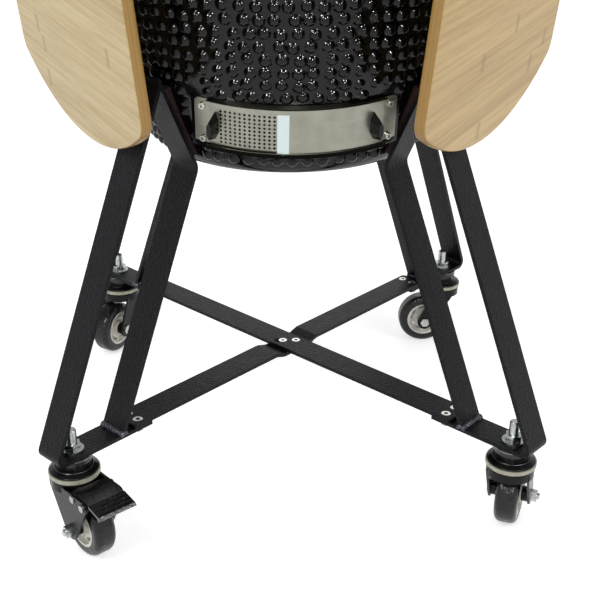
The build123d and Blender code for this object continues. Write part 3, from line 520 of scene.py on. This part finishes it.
def scatter(name, shape, spots, finish, body, sizeSpread=0.0, seed=1):
    # each spot is a place, the way the shape's top points, the way its X axis points and its size
    places, outwards, alongs, sizes = zip(*spots)
    mesh = bpy.data.meshes.new(name + "Spots")
    mesh.from_pydata([tuple(place) for place in places], [], [])
    for label, ways in (("outward", outwards), ("along", alongs)):
        values = [part for way in ways for part in way]
        mesh.attributes.new(label, "FLOAT_VECTOR", "POINT").data.foreach_set("vector", values)
    mesh.attributes.new("size", "FLOAT", "POINT").data.foreach_set("value", sizes)
    holder = addObject(name + "Spots", mesh)
    modifier = holder.modifiers.new("place", "NODES")
    modifier.node_group = placeShapes
    given = {"Shape": shape, "Finish": finishes[finish], "Size Spread": sizeSpread, "Seed": seed}
    for item in placeShapes.interface.items_tree:
        if item.in_out == "INPUT" and item.name in given:
            modifier[item.identifier] = given[item.name]
    bpy.context.view_layer.update()
    ready = holder.evaluated_get(bpy.context.evaluated_depsgraph_get())
    result = bpy.data.meshes.new_from_object(ready)
    piece = addObject(name, result)
    bpy.data.objects.remove(holder)
    bpy.data.objects.remove(shape)
    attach(piece, body)
    print(name + ":", len(spots), "copies,", len(result.polygons), "faces")
    return piece


# Raised dots all over the glazed bowl and lid

dots = {
    "width": 0.0138, "height": 0.0047, "sides": 11, "rings": 4, "filletShare": 1.13, "sunk": 0.0003,
    "step": 0.0172, "rowShare": 0.87, "leastRise": 0.25, "leastInRow": 5, "jitter": 0.0024, "jitterRise": 0.6,
    "phaseSpread": 0.15, "sizeSpread": 0.06, "least": 0.0116, "lookBack": 200, "wallStep": 0.004,
    "probeAngle": 0.5, "probeReach": 0.6, "edge": 0.012, "bowlEdge": 0.009, "bowlSeed": 11, "lidSeed": 23,
}


def dotShape():
    # a cap of a ball with a small fillet where it meets the wall
    half, high, sunk = dots["width"] / 2, dots["height"], dots["sunk"]
    ball = (half ** 2 + high ** 2) / (2 * high)
    steep = math.acos(1 - high / ball)
    profile = [(half * dots["filletShare"], -sunk)]
    for k in range(dots["rings"] + 1):
        angle = steep * (1 - k / dots["rings"])
        height = high - ball * (1 - math.cos(angle)) + (sunk if k == 0 else 0)
        profile.append((ball * math.sin(angle), height))
    return ringMesh("dotShape", profile, dots["sides"])


def treeOf(name):
    mesh = nodes[name].data
    return BVHTree.FromPolygons([v.co for v in mesh.vertices], [list(p.vertices) for p in mesh.polygons])


def isFree(trees, place, room):
    return all((tree.find_nearest(place)[3] or 1.0) > room for tree in trees)


def hitWall(wall, angle, height):
    # level ray from outside to the middle
    middle = Vector((0, 0, height))
    start = Vector((math.cos(angle), math.sin(angle), 0)) * dots["probeReach"] + middle
    return wall.ray_cast(start, (middle - start).normalized())[:2]


def dotRows(target, startHeight, stopHeight, keepOff, chance):
    # follows the wall row by row and leaves out what would touch the nodes to keep off
    wall = treeOf(target)
    trees = [treeOf(name) for name in keepOff]
    spots = []
    height = startHeight
    rise = 1 if stopHeight > startHeight else -1
    row = 0
    while (stopHeight - height) * rise > 0:
        probe, normal = hitWall(wall, dots["probeAngle"], height)
        if probe is None:
            break
        radius = math.hypot(probe.x, probe.y)
        count = max(dots["leastInRow"], round(math.tau * radius / dots["step"]))
        phase = row * 0.5 + chance.uniform(-dots["phaseSpread"], dots["phaseSpread"])
        for k in range(count):
            angle = math.tau * (k + phase) / count + chance.uniform(-1, 1) * dots["jitter"] / radius
            level = height + chance.uniform(-1, 1) * dots["jitter"] * dots["jitterRise"]
            place, outward = hitWall(wall, angle, level)
            if place is None or abs(math.hypot(place.x, place.y) - radius) > dots["wallStep"]:
                continue
            if any((place - spot[0]).length < dots["least"] for spot in spots[-dots["lookBack"]:]):
                continue
            if isFree(trees, place, dots["width"] / 2):
                spots.append((place, outward, Vector((-math.sin(angle), math.cos(angle), 0)), 1.0))
        # rows lie closer in height where the wall flattens
        height += rise * dots["step"] * dots["rowShare"] * max(dots["leastRise"], math.hypot(normal.x, normal.y))
        row += 1
    return spots


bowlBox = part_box("bowl")
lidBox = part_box("lid")
bowlSpots = dotRows(
    "bowl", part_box("lower_band")[0].z - dots["edge"], bowlBox[0].z + dots["bowlEdge"],
    ["lower_band", "cradle_pads", "draft_frame"] + ["cradle_" + corner for corner in cornerNames],
    random.Random(dots["bowlSeed"]))
scatter("bowlDots", dotShape(), bowlSpots, "glaze", "cart", dots["sizeSpread"], dots["bowlSeed"])
lidSpots = dotRows(
    "lid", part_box("upper_band")[1].z + dots["edge"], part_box("vent_base")[0].z - dots["edge"],
    ["upper_band", "thermometer", "vent_base", "hinge_arms"], random.Random(dots["lidSeed"]))
scatter("lidDots", dotShape(), lidSpots, "glaze", "lid", dots["sizeSpread"], dots["lidSeed"])


# Thread turns on the caster stems

thread = {
    "radius": 0.006, "pitch": 0.00175, "halfShare": 0.42, "sunk": 0.0003, "crest": 0.000168, "sides": 20,
    "tipClear": 0.0012,
}


def threadShape():
    half, foot = thread["pitch"] * thread["halfShare"], thread["radius"] - thread["sunk"]
    profile = [(foot, -half), (thread["radius"] + thread["crest"], 0.0), (foot, half)]
    return ringMesh("threadTurn", profile, thread["sides"])


def stemSpots():
    spots = []
    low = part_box("stem_nuts")[1].z
    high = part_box("caster_stems")[1].z - thread["tipClear"]
    for corner in cornerNames:
        middle = Vector(joints["swivel_" + corner]["pos_m"])
        height = low + thread["pitch"]
        while height < high:
            spots.append((Vector((middle.x, middle.y, height)), up, right, 1.0))
            height += thread["pitch"]
    return spots


scatter("stemThreads", threadShape(), stemSpots(), "zinc", "cart")


# Pressed black flange over each swivel ring

headFlange = {
    "inner": 0.0215, "rim": 0.0294, "tall": 0.0062, "lip": 0.0022, "lift": 0.0002, "edge": 0.0006,
    "bevel": 0.0008, "neck": 0.003, "neckRise": 0.0012, "crown": 0.0058, "crownRise": 0.0004, "sides": 48,
}


def flangeShape():
    look = headFlange
    inner, rim, lip, lift, edge = (look[key] for key in ("inner", "rim", "lip", "lift", "edge"))
    return ringMesh("flangeShape", [
        (inner, lift), (rim - edge, lift), (rim, lift + edge), (rim, lip - edge), (rim - look["bevel"], lip),
        (rim - look["neck"], lip + look["neckRise"]), (rim - look["crown"], look["tall"] - look["bevel"]),
        (inner, look["tall"] + look["crownRise"])], look["sides"], closed=True)


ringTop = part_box("swivel_rings")[1].z
flangeSpots = []
for corner in cornerNames:
    stemPlace = joints["swivel_" + corner]["pos_m"]
    flangeSpots.append((Vector((stemPlace[0], stemPlace[1], ringTop)), up, right, 1.0))
scatter("headFlanges", flangeShape(), flangeSpots, "steelBlack", "cart")


# Weld beads where the inner legs stand on the foot bars

weld = {
    "length": 0.036, "step": 0.0042, "bead": 0.00825, "narrow": 0.8, "flat": 0.72, "lift": 0.0012, "tilt": 0.8,
    "footSlack": 0.0006, "sizeSpread": 0.3, "seed": 5,
}


def beadShape():
    builder = bmesh.new()
    bmesh.ops.create_icosphere(builder, subdivisions=2, radius=weld["bead"] / 2)
    bmesh.ops.scale(builder, vec=(weld["narrow"], 1.0, weld["flat"]), verts=builder.verts)
    return finishMesh("beadShape", builder)


def weldSpots(corner):
    # one row along each side of the leg's foot
    swivel = Vector(joints["swivel_" + corner]["pos_m"])
    outward = Vector((swivel.x, swivel.y, 0)).normalized()
    along = Vector((-outward.y, outward.x, 0))
    points = [vertex.co for vertex in nodes["cradle_" + corner].data.vertices]
    foot = [point.dot(outward) for point in points if point.z < footTop + weld["footSlack"]]
    count = int(weld["length"] / weld["step"])
    spots = []
    for edge, tilt in ((max(foot), weld["tilt"]), (min(foot), -weld["tilt"])):
        for k in range(count + 1):
            offset = (k / count - 0.5) * weld["length"]
            place = outward * edge + along * offset + Vector((0, 0, footTop + weld["lift"]))
            spots.append((place, (up + outward * tilt).normalized(), along, 1.0))
    return spots


scatter("footWelds", beadShape(), [spot for corner in cornerNames for spot in weldSpots(corner)],
        "weld", "cart", weld["sizeSpread"], weld["seed"])


# Screw heads with a hexagon socket: countersunk on the cross bars, rounded on the draft frame

brace = {
    "head": 0.012, "skirt": 0.0028, "sink": 0.0031, "crown": 0.0002, "socket": 0.0046, "depth": 0.0022,
    "sides": 24, "span": 0.0125, "topSlack": 0.0001,
}
draft = {
    "head": 0.0082, "skirt": 0.0, "sink": 0.0024, "crown": 0.0008, "socket": 0.0036, "depth": 0.0012,
    "sides": 18, "span": 0.022,
}
screwHead = {"rimDrop": 0.0002, "topShare": 0.85, "mouthShare": 1.08, "mouthDrop": 0.0003, "darkRows": 2}
flatSearch = {"largest": 20, "sameWay": 0.9999}


def screwShape(look):
    builder = bmesh.new()
    count = look["sides"]
    half, crown = look["head"] / 2, look["crown"]
    angles = [math.tau * k / count for k in range(count)]
    circle = [Vector((math.cos(angle), math.sin(angle), 0)) for angle in angles]

    def hexPoint(way):
        angle = math.atan2(way.y, way.x) % (math.pi / 3) - math.pi / 6
        return way * (look["socket"] / 2 / math.cos(angle))

    socket = [hexPoint(way) for way in circle]
    rows = [  # points round the axis, their scale and their height
        (circle, half - look["skirt"], -look["sink"]), (circle, half, -screwHead["rimDrop"]),
        (circle, half * screwHead["topShare"], crown), (socket, screwHead["mouthShare"], crown),
        (socket, 1.0, crown - screwHead["mouthDrop"]), (socket, 1.0, crown - look["depth"])]
    made = [
        [builder.verts.new(point * scale + Vector((0, 0, height))) for point in points]
        for points, scale, height in rows]
    joinRows(builder, made)
    builder.faces.new(list(reversed(made[0])))
    builder.faces.new(made[-1])
    bmesh.ops.recalc_face_normals(builder, faces=builder.faces)
    piece = finishMesh("screwShape", builder, smooth=False)
    dark = screwHead["darkRows"] * count
    shades = [0.0] * (len(rows) * count - dark) + [1.0] * dark
    piece.data.attributes.new("shade", "FLOAT", "POINT").data.foreach_set("value", shades)
    return piece


def gathered(items, span, placeOf):
    # parts the items into groups that lie within a span of their first item
    groups = []
    for item in items:
        for group in groups:
            if (placeOf(group[0]) - placeOf(item)).length < span:
                group.append(item)
                break
        else:
            groups.append([item])
    return groups


def screwSpots():
    # one spot over each solid of the screw node, found from its topmost points
    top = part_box("brace_screws")[1].z
    points = [vertex.co for vertex in nodes["brace_screws"].data.vertices]
    tops = [point for point in points if point.z > top - brace["topSlack"]]
    spots = []
    for number, group in enumerate(gathered(tops, brace["span"], lambda point: point)):
        middle = [(min(p[i] for p in group) + max(p[i] for p in group)) / 2 for i in range(2)]
        spots.append((Vector((*middle, top)), up, Vector((math.cos(number), math.sin(number), 0)), 1.0))
    return spots


def flatFaces(name, span):
    # the largest flat face of each solid of a node that looks away from the axis: its middle and the way it points
    found = []
    for group in gathered(nodes[name].data.polygons, span, lambda face: face.center):
        largest = sorted(group, key=lambda face: face.area)[-flatSearch["largest"]:]
        planes = [
            [other for other in group if other.normal.dot(face.normal) > flatSearch["sameWay"]] for face in largest
            if face.normal.x * face.center.x + face.normal.y * face.center.y > 0]
        flat = max(planes, key=lambda faces: sum(face.area for face in faces))
        area = sum(face.area for face in flat)
        middle = sum((face.center * face.area for face in flat), Vector()) / area
        found.append((middle, flat[0].normal.copy()))
    return found


heads = scatter("braceHeads", screwShape(brace), screwSpots(), "socket", "cart")
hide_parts("brace_screws")
draftFaces = flatFaces("draft_screws", draft["span"])
draftSpots = [(middle, out, out.orthogonal().normalized(), 1.0) for middle, out in draftFaces]
scatter("draftHeads", screwShape(draft), draftSpots, "socket", "cart")


# Thermometer face: a pale disc, a ring of ticks and a needle

dial = {
    "span": 0.2, "radius": 0.0262, "edge": 0.0006, "edgeDrop": 0.0008, "lift": 0.0003, "sides": 40, "ticks": 41,
    "sweep": 270.0, "tickRing": 0.0226, "tickLength": 0.0028, "tickWidth": 0.0005, "tickTall": 0.0003,
    "longEvery": 5, "longShare": 1.7, "needle": 0.0205, "needleWidth": 0.0012, "needleTall": 0.0008,
    "needleShift": 0.36, "reading": 38.0,
}


def tickShape(length, width, tall):
    builder = bmesh.new()
    bmesh.ops.create_cube(builder, size=1.0)
    bmesh.ops.scale(builder, vec=(length, width, tall), verts=builder.verts)
    return finishMesh("tickShape", builder)


dialMiddle, dialOut = flatFaces("thermometer", dial["span"])[0]
dialSide = up.cross(dialOut).normalized()
dialUp = dialOut.cross(dialSide)
dialLift = dialMiddle + dialOut * dial["lift"]


def dialWay(degrees):
    # direction on the dial, clockwise from its top
    angle = math.radians(degrees)
    return dialUp * math.cos(angle) + dialSide * math.sin(angle)


plateEdge = [(dial["radius"] - dial["edge"], 0.0), (dial["radius"], -dial["edgeDrop"])]
plate = ringMesh("plateShape", [(0.0, 0.0)] + plateEdge, dial["sides"])
scatter("dialPlate", plate, [(dialLift, dialOut, dialSide, 1.0)], "paper", "lid")
tickSpots = []
for k in range(dial["ticks"]):
    way = dialWay(dial["sweep"] * (k / (dial["ticks"] - 1) - 0.5))
    size = dial["longShare"] if k % dial["longEvery"] == 0 else 1.0
    tickSpots.append((dialLift + way * dial["tickRing"], dialOut, way, size))
ticks = tickShape(dial["tickLength"], dial["tickWidth"], dial["tickTall"])
scatter("dialTicks", ticks, tickSpots, "ink", "lid")
way = dialWay(dial["reading"] - dial["sweep"] / 2)
needle = tickShape(dial["needle"], dial["needleWidth"], dial["needleTall"])
needlePlace = dialLift + way * dial["needle"] * dial["needleShift"]
scatter("dialNeedle", needle, [(needlePlace, dialOut, way, 1.0)], "ink", "lid")


# Shelf boards, with the bowed outer edge that the plain boards lack

boards = {
    "bow": 0.235, "bowShift": 0.02, "bowRise": 0.0035, "outerCorner": 0.026, "innerCorner": 0.014, "round": 0.003,
    "bowSteps": 40, "cornerSteps": 10, "roundSteps": 3, "leastStep": 1e-6,
}


def boardOutline(spans, inset):
    # spans are the limits along the hinge, rear to front, and across it, top to bottom; the arcs meet at tangents
    (rear, front), (top, bottom) = spans
    bow, corner, inner, steps = (boards[key] for key in ("bow", "outerCorner", "innerCorner", "cornerSteps"))
    middle = Vector((boards["bowShift"], bottom + boards["bowRise"] - bow))

    def cornerMiddle(along):
        rise = math.sqrt((bow - corner) ** 2 - (along - middle.x) ** 2)
        return Vector((along, middle.y + rise)), math.degrees(math.atan2(rise, along - middle.x))

    frontMiddle, frontAngle = cornerMiddle(front - corner)
    rearMiddle, rearAngle = cornerMiddle(rear + corner)
    arcs = [
        (Vector((front - inner, top + inner)), inner, -90, 0, steps),
        (frontMiddle, corner, 0, frontAngle, steps),
        (middle, bow, frontAngle, rearAngle, boards["bowSteps"]),
        (rearMiddle, corner, rearAngle, 180, steps),
        (Vector((rear + inner, top + inner)), inner, 180, 270, steps)]
    points = []
    for centre, radius, start, stop, count in arcs:
        for k in range(count + 1):
            angle = math.radians(start + (stop - start) * k / count)
            point = centre + Vector((math.cos(angle), math.sin(angle))) * (radius - inset)
            if not points or (point - points[-1]).length > boards["leastStep"]:
                points.append(point)
    return points


def layBoard(side):
    hinge, out, along = boardFrames[side]
    down = out.cross(along) if out.cross(along).z < 0 else along.cross(out)
    offsets = [vertex.co - hinge for vertex in nodes[side + "_shelf"].data.vertices]
    limits = [(min(p.dot(way) for p in offsets), max(p.dot(way) for p in offsets)) for way in (along, down, out)]
    low, high = limits[2]
    rings = []  # depth and inset of each ring of points, over the rounded edges
    for k in range(boards["roundSteps"] + 1):
        angle = math.pi / 2 * k / boards["roundSteps"]
        rings.append((low + boards["round"] * (1 - math.cos(angle)), boards["round"] * (1 - math.sin(angle))))
    rings += [(low + high - depth, inset) for depth, inset in reversed(rings)]
    builder = bmesh.new()
    rows = [
        [builder.verts.new(hinge + along * p[0] + down * p[1] + out * depth) for p in boardOutline(limits[:2], inset)]
        for depth, inset in rings]
    joinRows(builder, rows)
    caps = [builder.faces.new(rows[0]), builder.faces.new(rows[-1])]
    bmesh.ops.recalc_face_normals(builder, faces=builder.faces)
    builder.faces.index_update()
    flat = [face.index for face in caps]
    board = finishMesh(side + "Board", builder)
    for index in flat:
        board.data.polygons[index].use_smooth = False
    dress(board, side + "Bamboo")
    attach(board, side + "_shelf")
    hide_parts(side + "_shelf")


for side in sideNames:
    layBoard(side)
print("boards laid")


# Felt gasket between bowl and lid

gasket = {
    "inner": 0.2262, "outer": 0.2478, "gap": 0.0004, "edge": 0.001, "innerDrop": 0.0006, "outerDrop": 0.0008,
    "sides": 96,
}


def gasketShape():
    inner, outer, edge = gasket["inner"], gasket["outer"], gasket["edge"]
    low, high = bowlBox[1].z + gasket["gap"], lidBox[0].z - gasket["gap"]
    return ringMesh("rimGasket", [
        (inner, low + gasket["innerDrop"]), (inner + edge, low), (outer - edge, low),
        (outer, low + gasket["outerDrop"]), (outer, high - gasket["outerDrop"]), (outer - edge, high),
        (inner + edge, high), (inner, high - gasket["innerDrop"])], gasket["sides"], closed=True)


felt = gasketShape()
dress(felt, "felt")
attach(felt, "cart")
print("gasket laid")


# Floor, light and camera

white = (1, 1, 1, 1)
stage = {
    "floorSize": 30.0, "floorColor": (0.93, 0.93, 0.93, 1), "floorRoughness": 0.9, "floorGloss": 0.1, "glow": 0.54,
    "skyline": 1.0, "ceiling": 0.3, "skyFrom": 0.3, "skyTo": 0.75,
}
lamps = {
    "keyLamp": {"place": (-1.4, -1.7, 2.6), "target": (0, 0, 0.4), "size": 1.3, "power": 26.0},
    "fillLamp": {"place": (1.9, -1.2, 1.9), "target": (0, 0, 0.4), "size": 1.3, "power": 14.0},
    "backLamp": {"place": (0.2, 2.4, 1.6), "target": (0, 0, 0.2), "size": 1.3, "power": 6.0},
}
sparks = {"target": (0, 0, 0.55), "size": 0.2, "power": 14.0}
sparkPlaces = [(0.05, -1.7, 1.3), (-1.0, -1.3, 1.5), (1.0, -1.4, 1.7)]


def whiteFloor():
    # glows for the camera and in reflections, so that it comes out white
    mesh = bpy.data.meshes.new("floor")
    half = stage["floorSize"] / 2
    mesh.from_pydata([(-half, -half, 0), (half, -half, 0), (half, half, 0), (-half, half, 0)], [], [(0, 1, 2, 3)])
    floor = addObject("floor", mesh)
    material, tree, shader, _ = startFinish("paleFloor", stage["floorColor"], stage["floorRoughness"])
    path = addNode(tree, "ShaderNodeLightPath").outputs
    mirrored = mathStep(tree, "MAXIMUM", path["Is Glossy Ray"], path["Is Transmission Ray"])
    seen = mathStep(tree, "MAXIMUM", path["Is Camera Ray"], mirrored)
    setInputs(tree, shader, {
        "Specular IOR Level": stage["floorGloss"], "Emission Color": white,
        "Emission Strength": mathStep(tree, "MULTIPLY", seen, stage["glow"])})
    mesh.materials.append(material)


def studioWorld():
    # white at the skyline, with a grey ceiling over it
    world = bpy.data.worlds.new("studio")
    bpy.context.scene.world = world
    world.use_nodes = True
    tree = world.node_tree
    way = addNode(tree, "ShaderNodeTexCoord").outputs["Generated"]
    level = addNode(tree, "ShaderNodeMapRange", {
        "Value": splitAxes(tree, way)["Z"], "From Min": stage["skyFrom"], "From Max": stage["skyTo"],
        "To Min": stage["skyline"], "To Max": stage["ceiling"]}, interpolation_type="SMOOTHSTEP")
    setInputs(tree, tree.nodes["Background"], {"Color": white, "Strength": level.outputs["Result"]})


def softLamp(name, place, target, size, power):
    data = bpy.data.lights.new(name, "AREA")
    data.shape = "DISK"
    data.size = size
    data.energy = power
    lamp = addObject(name, data)
    lamp.location = place
    lamp.rotation_euler = (Vector(target) - Vector(place)).to_track_quat("-Z", "Y").to_euler()
    return lamp


whiteFloor()
studioWorld()
for name, lamp in lamps.items():
    softLamp(name, **lamp)
for number, place in enumerate(sparkPlaces):
    spark = softLamp("sparkLamp%d" % number, place, **sparks)
    spark.visible_diffuse = False  # shows only as highlights on what is glossy

view = {
    "place": (-0.0475, -1.335, 0.6984),  # height over the foot bars
    "pitch": 25.31, "yaw": 2.79, "roll": 0.43, "lens": 64.65, "sensor": 36.0, "clipStart": 0.01,
}


def turnAbout(degrees, letter):
    return Matrix.Rotation(math.radians(degrees), 3, letter)


cameraData = bpy.data.cameras.new("photoView")
cameraData.sensor_width = view["sensor"]
cameraData.lens = view["lens"]
cameraData.clip_start = view["clipStart"]
camera = addObject("photoView", cameraData)
camera.location = (view["place"][0], view["place"][1], view["place"][2] + footTop)
turn = turnAbout(-view["yaw"], "Z") @ turnAbout(90 - view["pitch"], "X") @ turnAbout(view["roll"], "Z")
camera.rotation_euler = turn.to_euler()
bpy.context.scene.camera = camera
bpy.context.scene.view_settings.view_transform = "Standard"
print("stage and camera set")
